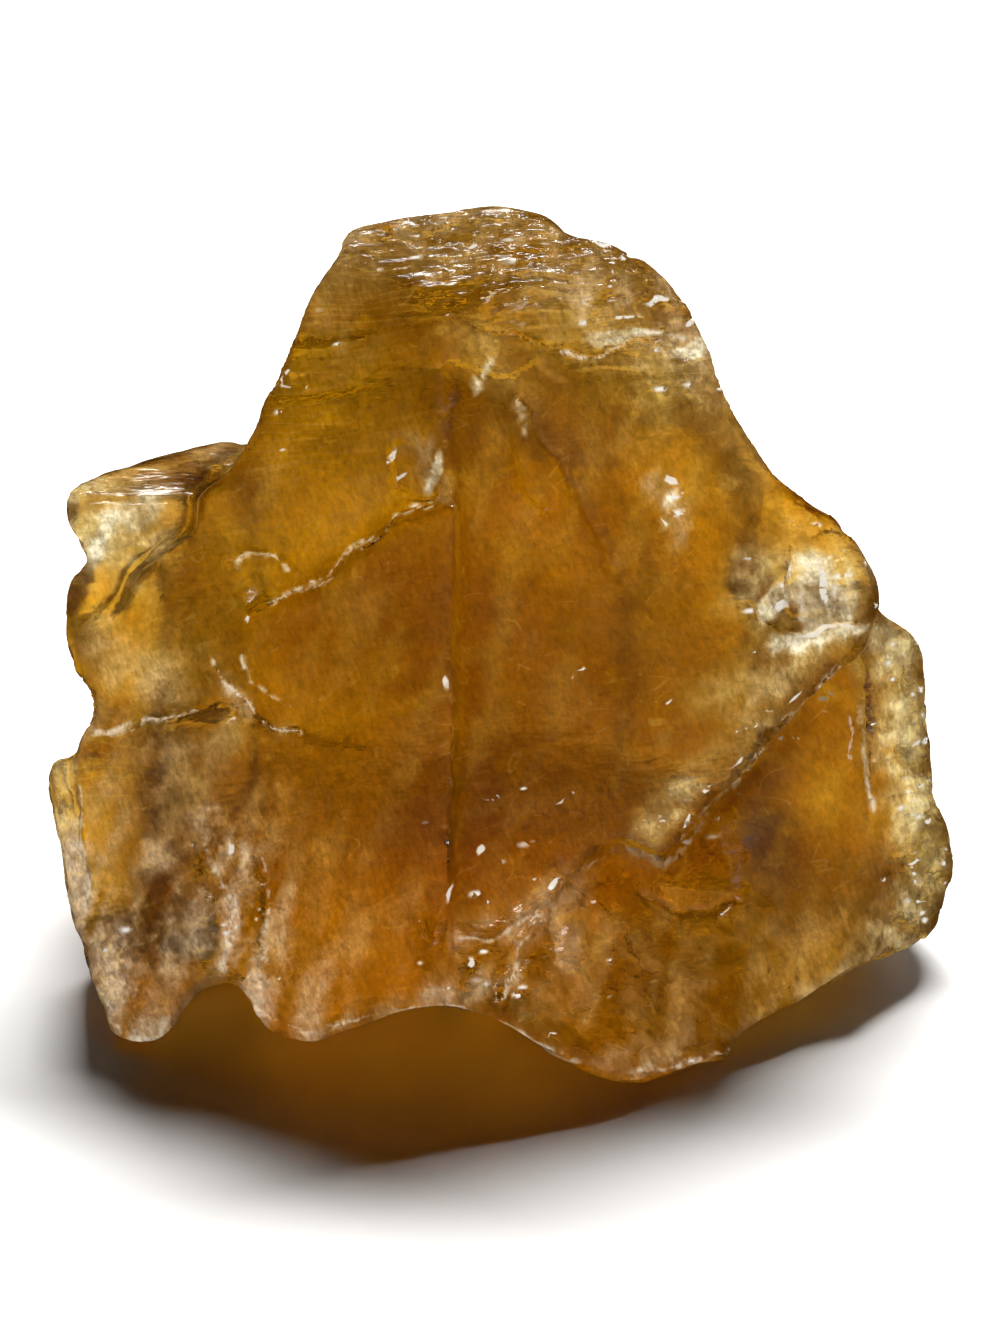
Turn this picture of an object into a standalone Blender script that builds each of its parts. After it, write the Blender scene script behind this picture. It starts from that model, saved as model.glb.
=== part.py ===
"""A rough chunk of honey calcite, broken along its cleavage into stepped sheets.

The stone is drawn on its main face, in millimetres: right runs across the face, up runs up it and out
stands out of it. Sheets of crystal are joined into one body, cleaved, roughened, laid back by LEAN and
cut off flat where the stone rests. The part's own frame is in metres, with +Z up, the main face looking
along -Y and up, and the origin in the middle of the stone's box on the surface that it rests on.
"""

import math

import bmesh
import bpy
from mathutils import Matrix, Vector, noise

NAME = "honey_calcite"
MM = 0.001

# Driving dimensions, in millimetres and degrees.
DEPTH = 50.0
LEAN = 35.0
LIFT = 5.0
MID_UP = 44.0

# How finely the broken surface is worked, what is left of that mesh, and how far it wanders from flat.
FINE_MESH = 0.5
TRIANGLES = 8600
SWELL_SIZE, SWELL = 26.0, 1.1
HACKLE_SIZE, HACKLE = 6.5, 0.38

# The chips that broke off the sides and back: how wide they are, how far each is tilted, how far one
# may stand out, and how far a surface still looks out of the main face where they start.
CHIP_SIZE, CHIP_TILT = 13.0, 0.28
CHIP_PROUD = 0.1
CHIP_START = 0.55

# Where the noise for the hackle and for the chips is read, so that neither repeats the swell.
HACKLE_OFFSET = Vector((7, 3, 5))
CHIP_SPREAD = 3.7

HONEY = (0.62, 0.33, 0.045, 1.0)
GLOSS_ROUGHNESS = 0.25
CALCITE_IOR = 1.55
CLARITY = 0.8

# The outlines of the sheets on the main face, each point (right, up), run anticlockwise.
CORE = [
    (-14, 85.6), (-21, 74), (-26.5, 60), (-34, 50), (-38.5, 38), (-37, 18), (-25, 11),
    (-18.8, 2.4), (-8, 3.4), (2, 2.0), (12, 1.8), (27, 14), (30, 30), (25, 40), (23.5, 50),
    (26, 58.5), (23.2, 66), (20.8, 71), (18, 76), (13, 82), (4, 86.2), (-8, 87.4),
]
UPPER_LEFT = [
    (-6.8, 87.4), (-10.5, 87), (-15.2, 85.8), (-16.5, 82.5), (-20, 78), (-21.6, 74),
    (-23.8, 68), (-24.5, 65), (-26.5, 62), (-28.5, 60), (-30.8, 58.5), (-31, 55), (-34, 53.5),
    (-37.5, 50.5), (-37.8, 48), (-41, 45.5), (-43, 44), (-43, 41), (-41.2, 38.2), (-41, 36.2),
    (-42.4, 33.8), (-40, 31), (-20, 30), (-5, 30), (-5, 57),
]
RIGHT = [
    (-1, 88), (-7.5, 87.6), (-5.6, 60), (-5, 9), (-2, 9), (5, 17), (6.5, 20.2), (8.5, 21.5),
    (10, 22.5), (12.5, 23.5), (14.5, 22.3), (16.2, 21.6), (19, 24), (22, 28), (25.5, 31.8),
    (27, 34.5), (30, 37.5), (34, 41), (36.8, 44), (37.5, 47.5), (37, 50), (35.5, 53.2), (33, 56),
    (29, 59), (26.5, 62), (24, 66.5), (21.8, 70.5), (21.3, 73), (19, 77), (16.8, 80.5), (14, 82.5),
    (10.5, 84.2), (6.5, 84.7), (4.5, 86.8),
]
LOWER_RIGHT = [
    (34, 50), (20, 50), (0, 32), (-8, 14), (-5, 7.7), (-1, 6.6), (2, 5), (6, 2.8), (10, 1.2), (14, 0.2),
    (20, 1.8), (22, 1.6), (24, 4), (30, 7), (36, 10.8), (38.5, 11.7), (38.5, 26), (38, 46.5),
]
RIGHT_STRIP = [
    (40, 45.5), (36, 47.5), (37, 38), (36.6, 32), (37.8, 25), (36.5, 19), (36, 10.8), (38, 11.5),
    (42.5, 13.5), (44.5, 15.5), (44.8, 18.5), (46, 19.5), (45.8, 24), (44.5, 28), (44, 31), (43.5, 36),
    (43.8, 40), (43.5, 42.5), (42, 44.8),
]
LOWER_LEFT = [
    (-4.6, 57.5), (-10.5, 56), (-13.5, 53.8), (-17, 50.5), (-21, 48.8), (-25.5, 46.5), (-26, 43),
    (-25.5, 38.6), (-28, 37.4), (-32, 36.4), (-32, 16), (-29.2, 13), (-28.5, 11), (-25.6, 8.2), (-24.4, 5.9),
    (-22.5, 4.7), (-18.8, 3.9), (-15, 5.1), (-10, 7), (-5, 7.7), (-4.8, 30),
]
FAR_LEFT = [
    (-27, 37), (-32.5, 37), (-34.8, 34.8), (-38, 34), (-42.4, 34.2), (-42.7, 31.5), (-43, 25), (-43.2, 18),
    (-42.3, 13), (-41.2, 9.5), (-40, 7.2), (-39.4, 4.4), (-36.7, 3.4), (-34.4, 3.6), (-32.9, 4.9),
    (-31.4, 7.8), (-30, 9), (-27.4, 9.4), (-26, 14),
]
LEFT_SLAB = [
    (-42.5, 31.9), (-45, 31.8), (-45.4, 30.8), (-45, 26.8), (-44.7, 22.2), (-44.4, 18), (-43, 14.5),
    (-40, 12), (-34, 14), (-34, 31),
]
BACK_LOBE = [
    (-20, 66), (-24.5, 66), (-30, 64.6), (-35, 63), (-41, 60.8), (-43.6, 59.4), (-44, 56.8), (-43, 53.6),
    (-41.6, 51.8), (-43.8, 50.4), (-44, 47), (-43.6, 43), (-38, 34), (-24, 36), (-16, 50),
]
BACK_SHEET = [
    (-20, 72), (-33, 54), (-34, 40), (-22, 28), (-2, 24), (10, 32), (14, 52), (2, 74),
]
BACK_LEDGE = [
    (6, 66), (-6, 40), (4, 22), (24, 20), (33, 34), (26, 54),
]

# Each sheet: its outline, its front plane and its back plane, how far its back outline shrinks, and the
# planes that cleave it before it joins the rest. A plane is how far out it lies in the middle of the
# face, and how much further out it gets for each millimetre to the right and up.
SHEETS = {
    "core": (CORE, (-20.0, 0.0, 0.0), (-DEPTH, -0.05, 0.12), 0.80, []),
    "upper_left": (UPPER_LEFT, (-0.9, 0.32, -0.07), (-26.0, 0.30, -0.05), 0.96, []),
    "right": (RIGHT, (-4.7, -0.24, -0.05), (-23.0, 0.02, 0.0), 0.96, []),
    "lower_right": (LOWER_RIGHT, (-7.6, -0.35, -0.165), (-32.0, -0.12, 0.10), 0.90, []),
    "right_strip": (RIGHT_STRIP, (16.8, -0.90, -0.02), (-34.0, 0.04, 0.06), 0.88, []),
    "lower_left": (LOWER_LEFT, (0.3, 0.35, -0.03), (-20.0, 0.20, 0.00), 0.93, []),
    "far_left": (FAR_LEFT, (1.9, 0.34, 0.04), (-17.5, 0.25, 0.02), 0.94, []),
    "left_slab": (LEFT_SLAB, (-7.0, 0.18, 0.0), (-20.0, 0.10, 0.0), 0.97, []),
    "back_lobe": (
        BACK_LOBE, (-17.0, -0.04, 0.03), (-31.0, -0.10, 0.05), 0.94,
        [((-36, 59.5, -17), (0.0, 0.86, 0.51))],
    ),
    "back_sheet": (BACK_SHEET, (-30.0, 0.0, 0.0), (-54.5, -0.08, 0.16), 0.93, []),
    "back_ledge": (BACK_LEDGE, (-30.0, 0.0, 0.0), (-52.0, 0.08, 0.10), 0.92, []),
}

# Planes that cleave the joined body: a point on each, and the way it faces.
CLEAVES = [
    ((0, 78, -6.5), (0.06, 0.58, 0.81)),
    ((14, 77, -9), (0.30, 0.55, 0.78)),
    ((-2, 80, -27), (-0.05, 0.80, -0.60)),
    ((37.5, 44, -30), (0.80, 0.16, -0.58)),
    ((-31, 52, -40), (-0.62, 0.22, -0.75)),
    ((32.6, 10.9, -28.9), (0.52, -0.62, -0.58)),
]


def on_face(right, up, out):
    """A point of the main face's frame, before the stone is laid back."""
    return Vector((right, -out, up)) * MM


def depth_of(plane, right, up):
    out, per_right, per_up = plane
    return out + per_right * right + per_up * (up - MID_UP)


def shrunk(outline, share):
    """The outline drawn in towards its middle."""
    middle = [sum(p[i] for p in outline) / len(outline) for i in (0, 1)]
    return [tuple(middle[i] + (p[i] - middle[i]) * share for i in (0, 1)) for p in outline]


def sheet(name, outline, front, back, share):
    """A closed sheet between two planes, with the outline in front and a smaller one behind."""
    rims = [
        [on_face(right, up, depth_of(plane, right, up)) for right, up in points]
        for plane, points in ((front, outline), (back, shrunk(outline, share)))
    ]
    mesh = bpy.data.meshes.new(name)
    form = bmesh.new()
    near, far = ([form.verts.new(point) for point in rim] for rim in rims)
    form.faces.new(near)
    form.faces.new(reversed(far))
    for i, corner in enumerate(near):
        j = (i + 1) % len(near)
        form.faces.new((corner, far[i], far[j], near[j]))
    bmesh.ops.triangulate(form, faces=form.faces[:])
    bmesh.ops.recalc_face_normals(form, faces=form.faces[:])
    form.to_mesh(mesh)
    form.free()
    made = bpy.data.objects.new(name, mesh)
    bpy.context.scene.collection.objects.link(made)
    return made


def keep_result(body):
    """Makes what the body's modifiers give its own mesh, and removes them."""
    graph = bpy.context.evaluated_depsgraph_get()
    result = bpy.data.meshes.new_from_object(body.evaluated_get(graph))
    body.modifiers.clear()
    body.data = result


def combine(body, tool, operation):
    """Joins or cuts body with tool, and removes the tool.

    The sheets cross at very flat angles, where the EXACT solver drops the whole body.
    """
    step = body.modifiers.new(operation.lower(), "BOOLEAN")
    step.operation = operation
    step.solver = "MANIFOLD"
    step.object = tool
    keep_result(body)
    bpy.data.objects.remove(tool)


def half_space(point, facing):
    """A block far larger than the stone that fills everything beyond a plane."""
    side = 6 * DEPTH * MM
    form = bmesh.new()
    bmesh.ops.create_cube(form, size=side)
    bmesh.ops.translate(form, verts=form.verts[:], vec=(0, 0, side / 2))
    turn = facing.to_track_quat("Z", "Y").to_matrix().to_4x4()
    bmesh.ops.transform(form, verts=form.verts[:], matrix=Matrix.Translation(point) @ turn)
    mesh = bpy.data.meshes.new("cut")
    form.to_mesh(mesh)
    form.free()
    made = bpy.data.objects.new("cut", mesh)
    bpy.context.scene.collection.objects.link(made)
    return made


def cleave(body, point, facing):
    """Breaks off what lies beyond a plane given on the main face's frame."""
    right, up, out = facing
    normal = Vector((right, -out, up)).normalized()
    combine(body, half_space(on_face(*point), normal), "DIFFERENCE")


def even_mesh(body):
    """Lays a fine even mesh over the joined sheets, so that their broken faces can be roughened."""
    step = body.modifiers.new("even mesh", "REMESH")
    step.mode = "VOXEL"
    step.voxel_size = FINE_MESH * MM
    keep_result(body)


def chip(at):
    """How far a point moves so that each cell of stone round it becomes a flat tilted chip."""
    near = noise.voronoi(at / CHIP_SIZE)[1][0]
    tilt = noise.noise_vector(near * CHIP_SPREAD) * CHIP_TILT
    return min(CHIP_PROUD, tilt.dot(at - near * CHIP_SIZE))


def roughen(body):
    """Moves the surface by a slow swell and a finer hackle, as a broken crystal face has.

    Away from the main face it is also broken into chips.
    """
    form = bmesh.new()
    form.from_mesh(body.data)
    form.normal_update()
    moves = {}
    for vert in form.verts:
        at = vert.co / MM
        swell = noise.noise(at / SWELL_SIZE) * SWELL
        hackle = noise.noise(at / HACKLE_SIZE + HACKLE_OFFSET) * HACKLE
        facing_out = -vert.normal.y
        broken = min(1.0, max(0.0, (CHIP_START - facing_out) / CHIP_START))
        moves[vert] = vert.normal * (swell + hackle + broken * chip(at)) * MM
    for vert, move in moves.items():
        vert.co += move
    form.to_mesh(body.data)
    form.free()


def coarsen(body):
    """Thins the even mesh out until it has TRIANGLES triangles, the fewest where it is flattest."""
    body.data.calc_loop_triangles()
    step = body.modifiers.new("coarsen", "DECIMATE")
    step.ratio = TRIANGLES / len(body.data.loop_triangles)
    keep_result(body)


def lay_back(body):
    """Leans the main face back, cuts the stone off flat at the floor and centres its footprint."""
    body.data.transform(Matrix.Rotation(-math.radians(LEAN), 4, "X"))
    floor = Vector((0, 0, -LIFT * MM))
    combine(body, half_space(floor, Vector((0, 0, -1))), "DIFFERENCE")
    corners = [vert.co for vert in body.data.vertices]
    middle = [(min(c[i] for c in corners) + max(c[i] for c in corners)) / 2 for i in (0, 1)]
    shift = Vector((-middle[0], -middle[1], LIFT * MM))
    body.data.transform(Matrix.Translation(shift))
    return shift


def honey_material():
    material = bpy.data.materials.new("honey calcite")
    material.use_nodes = True
    shader = material.node_tree.nodes["Principled BSDF"]
    shader.inputs["Base Color"].default_value = HONEY
    shader.inputs["Roughness"].default_value = GLOSS_ROUGHNESS
    shader.inputs["Metallic"].default_value = 0.0
    shader.inputs["IOR"].default_value = CALCITE_IOR
    shader.inputs["Transmission Weight"].default_value = CLARITY
    return material


def main():
    for old in list(bpy.data.objects):
        bpy.data.objects.remove(old)
    stone = None
    for name, (outline, front, back, share, cuts) in SHEETS.items():
        made = sheet(name, outline, front, back, share)
        for point, facing in cuts:
            cleave(made, point, facing)
        if stone is None:
            stone = made
        else:
            combine(stone, made, "UNION")
    for point, facing in CLEAVES:
        cleave(stone, point, facing)
    even_mesh(stone)
    roughen(stone)
    coarsen(stone)
    face_origin = lay_back(stone)
    stone.name = NAME
    stone.data.name = NAME
    stone.data.materials.clear()
    stone.data.materials.append(honey_material())
    return face_origin


main()
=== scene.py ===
"""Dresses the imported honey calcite: its broken surface, its crystal, the floor, the light and the camera.

The stone is worked on its main face, in millimetres: right runs across the face, up runs up it and out
stands out of it, all from the middle of the face's foot.
"""

import math

import bpy
import numpy as np
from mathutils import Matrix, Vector, noise


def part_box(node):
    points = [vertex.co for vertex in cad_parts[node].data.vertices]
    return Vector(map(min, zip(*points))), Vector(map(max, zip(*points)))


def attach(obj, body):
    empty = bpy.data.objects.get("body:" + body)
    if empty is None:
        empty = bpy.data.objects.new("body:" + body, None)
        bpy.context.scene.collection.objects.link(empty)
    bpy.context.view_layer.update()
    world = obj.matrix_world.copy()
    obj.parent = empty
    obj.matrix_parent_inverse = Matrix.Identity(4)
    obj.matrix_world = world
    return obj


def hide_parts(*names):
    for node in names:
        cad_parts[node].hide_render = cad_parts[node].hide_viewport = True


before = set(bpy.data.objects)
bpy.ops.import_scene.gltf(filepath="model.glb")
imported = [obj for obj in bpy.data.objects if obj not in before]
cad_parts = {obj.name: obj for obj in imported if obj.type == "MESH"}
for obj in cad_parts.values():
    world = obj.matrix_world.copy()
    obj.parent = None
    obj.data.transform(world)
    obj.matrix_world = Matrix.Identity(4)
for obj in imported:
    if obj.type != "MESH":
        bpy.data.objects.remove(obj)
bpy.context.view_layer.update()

MM = 0.001
NODE = "honey_calcite"

# The lot that the chips' tilts are drawn from, so that each run gives the same stone.
CHIP_LOT = 7

# The main face's frame, as the part's own source lays it back.
LEAN = math.radians(35)
FACE_ORIGIN = np.array((-0.304, -40.73, 5.0))
FACE_AXES = np.array((
    (1.0, 0.0, 0.0),
    (0.0, math.sin(LEAN), math.cos(LEAN)),
    (0.0, -math.cos(LEAN), math.sin(LEAN)),
))

# The photograph's frame: its size in pixels, a pixel's size on the main face and where that face's
# origin is seen. Then the camera: its sensor, how far off it stands, and at what depth under the face's
# origin a pixel has that size.
PHOTO_WIDTH, PHOTO_HEIGHT = 1000, 1333
PIXEL = 0.1
ORIGIN_X, ORIGIN_Y = 500, 1080
SENSOR = 36.0
CAMERA_DISTANCE = 700.0
FACE_DEPTH = -9.0

# The fine mesh: its first pitch, how many passes turn the solid's facets into true faces and settle the
# vertices on them, how alike two facets must be to be flattened together, how many triangles are kept
# and from what angle an edge is sharp.
FINE_PITCH = 0.40
FLATTEN_PASSES = 44
SETTLE_PASSES = 16
ALIKE = 0.30
TRIANGLES = 192000
SHARP_ANGLE = math.radians(25)

# Lumpy noise: how fast its finer lumps fade, and how much finer each octave is than the last. Such a
# noise is given by the size of its lumps, its octaves and its seed. The first one wanders the strokes.
OCTAVE_FADE = 0.75
OCTAVE_STEP = 2.0
WANDER_NOISE = (3.5, 4, 0.0)

# Plain noises, each as how much it moves things, the size of its lumps and its seed: the two that fray
# a line, the two that swell the surface, and those that bend fine steps, spread them and make them
# uneven in height.
FRAYS = [(0.9, 5.0, 11.0), (0.45, 1.6, 15.0)]
SWELLS = [(0.16, 9.0, 1.0), (0.05, 3.2, 2.0)]
STEP_BEND = (0.5, 6.0, 4.0)
STEP_SPREAD = (0.8, 3.0, 9.0)
STEP_UNEVEN = (0.45, 2.5, 2.0)
STEP_EVEN = 0.55
STEP_DROPS_FROM = 0.82

# A route fades over this share of its length at both ends, and a ledge's lip is this soft.
END_FADE = 0.12
LIP_SOFTNESS = 0.15

# A broad stroke: how much noise wanders its rim, and how far out it is still whole and then gone, as
# shares of its width.
RIM_WANDER = 0.45
STROKE_WHOLE = 0.2
STROKE_GONE = 1.6

# The broken surface: the size, tilt and seed of its coarse and its fine chips, how flat they lie, how
# far a chip may stand out, and how broken the sides and the back are.
CHIPS = [(3.6, 0.55, 0.0), (1.5, 0.6, 3.0)]
CHIPS_LIE = (0.55, 1.0, 1.0)
CHIP_CAP = 0.05
SIDE_CHIPS = 0.42

# The fine hackle: how high it is, its lumpy noise, and how much of it lies on unbroken faces.
HACKLE_HEIGHT = 0.06
HACKLE_NOISE = (1.6, 3, 5.0)
HACKLE_EVERYWHERE = 0.35

# The foot stays flat: nothing moves below the first height, and all of it does above the second.
FOOT_STILL = 0.25
FOOT_FREE = 1.6


def unit(vectors):
    """The vectors at length one."""
    length = np.linalg.norm(vectors, axis=-1, keepdims=True)
    return vectors / np.maximum(length, 1e-12)


def smooth_step(value, low, high):
    """0 below low, 1 above high and a smooth rise between them."""
    share = np.clip((value - low) / (high - low), 0.0, 1.0)
    return share * share * (3 - 2 * share)


def noise_at(at, size, seed):
    """Smooth noise from -1 to 1 at each point, with lumps of about that size."""
    spots = (at / size + seed).tolist()
    return np.array([noise.noise(spot) for spot in spots])


def shaken(at, shake):
    """Noise given as how much there is of it, the size of its lumps and its seed."""
    much, size, seed = shake
    return much * noise_at(at, size, seed)


def fractal_at(at, size, octaves, seed):
    """Noise with ever finer lumps on its lumps, about -1 to 1."""
    spots = (at / size + seed).tolist()
    return np.array([noise.fractal(spot, OCTAVE_FADE, OCTAVE_STEP, octaves) for spot in spots])


def turned(at, degrees, stretch):
    """Points turned by some degrees and squeezed, so that noise is drawn out along that line of the face."""
    turn = math.radians(degrees)
    along = at[:, 0] * math.cos(turn) + at[:, 1] * math.sin(turn)
    across = at[:, 1] * math.cos(turn) - at[:, 0] * math.sin(turn)
    return np.stack([along / stretch, across, at[:, 2]], axis=1)


def warped(at):
    """Points pushed about a little on the main face, which frays every line that is drawn on it."""
    moved = at.copy()
    for axis in range(2):
        moved[:, axis] += sum(shaken(at, (much, size, seed + 7 * axis)) for much, size, seed in FRAYS)
    return moved


def chips_at(at, size, seed):
    """Flat tilted chips of about that size: how far each point moves for a tilt of one."""
    spots = at / size + seed
    moves = np.empty(len(at))
    for i, spot in enumerate(spots.tolist()):
        near = noise.voronoi(spot)[1][0]
        tilt = noise.noise_vector(near * 5.3)
        moves[i] = tilt.dot(Vector(spot) - near)
    return moves * size


def read_mesh(mesh):
    """A mesh of quads as arrays: its vertices in millimetres, and the four corners of each face."""
    corners = np.empty(len(mesh.vertices) * 3)
    mesh.vertices.foreach_get("co", corners)
    loops = np.empty(len(mesh.loops), dtype=np.int64)
    mesh.loops.foreach_get("vertex_index", loops)
    return corners.reshape(-1, 3) / MM, loops.reshape(-1, 4)


def applied(stone):
    """Makes what the stone's modifiers give its own mesh, and removes them."""
    graph = bpy.context.evaluated_depsgraph_get()
    result = bpy.data.meshes.new_from_object(stone.evaluated_get(graph))
    stone.modifiers.clear()
    stone.data = result
    return result


def even_copy():
    """A copy of the solid with a fine even mesh of quads."""
    stone = bpy.data.objects.new("calcite_stone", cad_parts[NODE].data.copy())
    bpy.context.scene.collection.objects.link(stone)
    remesh = stone.modifiers.new("even mesh", "REMESH")
    remesh.mode = "VOXEL"
    remesh.voxel_size = FINE_PITCH * MM
    applied(stone)
    return stone


def faces_across(quads):
    """For each face, the four faces across its edges."""
    ends = np.stack([quads, np.roll(quads, -1, axis=1)], axis=-1).reshape(-1, 2)
    ends = np.sort(ends, axis=1)
    order = np.lexsort((ends[:, 1], ends[:, 0]))
    pairs = order[: len(order) // 2 * 2].reshape(-1, 2)
    across = np.zeros(len(ends), dtype=np.int64)
    across[pairs[:, 0]] = pairs[:, 1] // 4
    across[pairs[:, 1]] = pairs[:, 0] // 4
    return across.reshape(-1, 4)


def face_normals(points, quads):
    """Each face's outward direction."""
    a, b, c, d = (points[quads[:, i]] for i in range(4))
    return unit(np.cross(c - a, d - b))


def summed(values, quads, count):
    """Adds each face's value to its corners."""
    corner = quads.reshape(-1)
    spread = np.repeat(values, 4, axis=0)
    return np.stack([np.bincount(corner, spread[:, i], count) for i in range(3)], axis=1)


def vertex_normals(points, quads):
    """Each vertex's outward direction, from the faces round it."""
    return unit(summed(face_normals(points, quads), quads, len(points)))


def flattened(points, quads):
    """Turns the solid's small facets into true cleavage faces, and keeps the ledges between them."""
    across = faces_across(quads)
    normals = face_normals(points, quads)
    for _ in range(FLATTEN_PASSES):
        beside = normals[across]
        apart = ((beside - normals[:, None]) ** 2).sum(axis=2)
        alike = np.exp(-apart / (2 * ALIKE ** 2))
        normals = unit(normals + (beside * alike[:, :, None]).sum(axis=1))
    shared = np.bincount(quads.reshape(-1), minlength=len(points))[:, None]
    for _ in range(SETTLE_PASSES):
        centres = points[quads].mean(axis=1)
        lift = (normals[:, None] * (centres[:, None] - points[quads])).sum(axis=2)
        pull = normals[:, None] * lift[:, :, None]
        corner = quads.reshape(-1)
        flat = pull.reshape(-1, 3)
        moves = np.stack([np.bincount(corner, flat[:, i], len(points)) for i in range(3)], axis=1)
        points = points + moves / np.maximum(shared, 1)
    return points


def on_face(points):
    """Points of the part's frame as (right, up, out) on the main face."""
    return (points - FACE_ORIGIN) @ FACE_AXES.T


def distance_to(at, route):
    """How far each point lies from a route drawn on the main face, and how far along it, from 0 to 1."""
    flat = at[:, :2]
    route = np.array(route, dtype=float)
    lengths = np.linalg.norm(np.diff(route, axis=0), axis=1)
    starts = np.concatenate([[0.0], np.cumsum(lengths)])
    best = np.full(len(flat), 1e9)
    along = np.zeros(len(flat))
    side = np.zeros(len(flat))
    for i, length in enumerate(lengths):
        run = (route[i + 1] - route[i]) / length
        offset = flat - route[i]
        share = np.clip(offset @ run, 0, length)
        away = np.linalg.norm(offset - share[:, None] * run, axis=1)
        closer = away < best
        best = np.where(closer, away, best)
        along = np.where(closer, (starts[i] + share) / starts[-1], along)
        side = np.where(closer, np.sign(run[0] * offset[:, 1] - run[1] * offset[:, 0]), side)
    return best, along, side


def fading(along):
    """1 along a route, and 0 at its ends."""
    return smooth_step(along, 0.0, END_FADE) * smooth_step(-along, -1.0, END_FADE - 1.0)


def ridge(at, route, width, height):
    """A ridge along a route, or a groove if its height is below zero."""
    away, along, _ = distance_to(at, route)
    return height * np.exp(-((away / width) ** 2)) * fading(along)


def ledge(at, route, reach, height):
    """A step along a route, which is low on its left side and levels out over its reach."""
    away, along, side = distance_to(at, route)
    crisp = smooth_step(away * side, -LIP_SOFTNESS, LIP_SOFTNESS)
    return -height * crisp * np.exp(-(away / reach) ** 2) * fading(along)


def painted(at, strokes, wander):
    """How strongly some broad soft strokes cover each point, from 0 to 1."""
    cover = np.zeros(len(at))
    for route, width, strength in strokes:
        away, _, _ = distance_to(at, route)
        share = away / width + RIM_WANDER * wander
        cover = np.maximum(cover, strength * smooth_step(-share, -STROKE_GONE, -STROKE_WHOLE))
    return cover


# The edges of the two proud sheets on the main face.
RIGHT_LEDGE = [
    (36.8, 44.0), (34.0, 41.0), (30.0, 37.5), (27.0, 34.5), (25.5, 31.8), (22.0, 28.0), (19.0, 24.0),
    (16.2, 21.6), (14.5, 22.3), (12.5, 23.5), (10.0, 22.5), (8.5, 21.5), (6.5, 20.2), (5.5, 17.5),
]
LEFT_LEDGE = [(-25.5, 46.5), (-21.0, 48.8), (-17.0, 50.5), (-10.5, 56.0), (-4.5, 58.0)]

# What stands up from the main face or is cut into it, as routes of (right, up), how wide and how high.
RIDGES = [
    ([(-26.5, 50.0), (-25.0, 52.3), (-22.3, 52.4), (-20.8, 50.4)], 0.35, 0.20),
    ([(-5.0, 14.5), (0.5, 15.8), (5.0, 18.0), (6.5, 20.5)], 0.6, 0.45),
    ([(5.5, 17.0), (2.0, 13.5), (1.0, 10.0), (-0.5, 8.0)], 0.6, 0.40),
    ([(7.0, 16.0), (6.5, 13.0), (8.5, 10.0), (10.5, 7.5)], 0.6, 0.30),
    ([(16.0, 20.6), (19.0, 19.2), (23.0, 19.0), (25.0, 20.5)], 0.5, 0.20),
    ([(36.8, 44.0), (36.6, 38.0), (37.6, 30.0), (36.8, 24.0)], 0.5, 0.30),
    ([(1.5, 69.5), (4.5, 64.0), (8.0, 58.5), (10.5, 53.0), (13.5, 48.0)], 0.4, -0.20),
    ([(14.2, 19.0), (17.5, 17.4), (21.0, 17.0), (24.5, 18.6)], 0.5, -0.4),
    ([(4.5, 22.5), (8.0, 19.0), (9.0, 15.0), (12.0, 13.0)], 0.8, -0.4),
    ([(-43.2, 30.0), (-42.8, 24.0), (-42.0, 17.0)], 0.4, -0.4),
]

# Steps of the main face: the route of each, with the low side on its left, how far the low side
# reaches, and how high the step is.
LEDGES = [
    (LEFT_LEDGE, 7.0, 1.1),
    (RIGHT_LEDGE, 7.0, 2.0),
    ([(-42.4, 34.4), (-33.5, 36.5), (-28.5, 37.5)], 7.0, 0.45),
    ([(-29.5, 43.0), (-27.5, 39.0), (-24.0, 36.0), (-19.0, 34.0), (-12.0, 33.5)], 4.0, 0.18),
    ([(-11.0, 64.5), (-10.8, 59.5), (-8.8, 57.3), (-5.4, 58.5)], 3.0, 0.7),
    ([(4.5, 72.5), (1.5, 70.0), (-2.0, 71.0), (-5.5, 72.0)], 3.5, 0.6),
    ([(-4.5, 75.5), (3.0, 74.0), (9.0, 73.0), (15.0, 73.5), (20.5, 72.0)], 4.0, 0.7),
    ([(24.5, 48.0), (27.0, 45.0), (31.0, 44.6), (36.5, 46.5)], 4.0, 0.8),
    ([(29.0, 53.5), (28.6, 49.5), (29.6, 46.0)], 3.0, 0.6),
    ([(-22.0, 74.5), (-17.0, 73.8), (-12.0, 74.6)], 3.0, 0.35),
    ([(-23.0, 69.0), (-18.0, 68.0), (-13.5, 68.9)], 3.0, 0.30),
    ([(0.5, 66.0), (2.0, 60.0), (4.5, 56.0)], 4.0, 0.30),
    ([(-31.0, 24.0), (-29.0, 18.0), (-29.5, 10.0)], 3.0, 0.5),
    ([(-25.0, 24.0), (-23.5, 17.0), (-25.0, 10.0)], 3.0, 0.4),
]

# Where the surface is broken small, as broad strokes with the depth of their chips.
ROUGH = [
    ([(-6.0, 85.0), (6.0, 82.5), (17.0, 77.0)], 6.5, 0.62),
    ([(-16.0, 85.5), (-9.0, 85.0)], 3.5, 0.40),
    ([(41.5, 44.0), (43.5, 28.0), (44.0, 16.0)], 3.5, 0.35),
    ([(31.0, 57.0), (35.5, 51.5)], 3.0, 0.40),
    ([(17.0, 26.5), (26.0, 34.5)], 2.4, 0.22),
    ([(-3.0, 12.0), (7.0, 9.0)], 4.5, 0.35),
    ([(-27.0, 22.0), (-24.0, 7.0)], 3.5, 0.20),
    ([(-42.5, 20.0), (-39.0, 5.0)], 3.5, 0.25),
]

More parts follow.
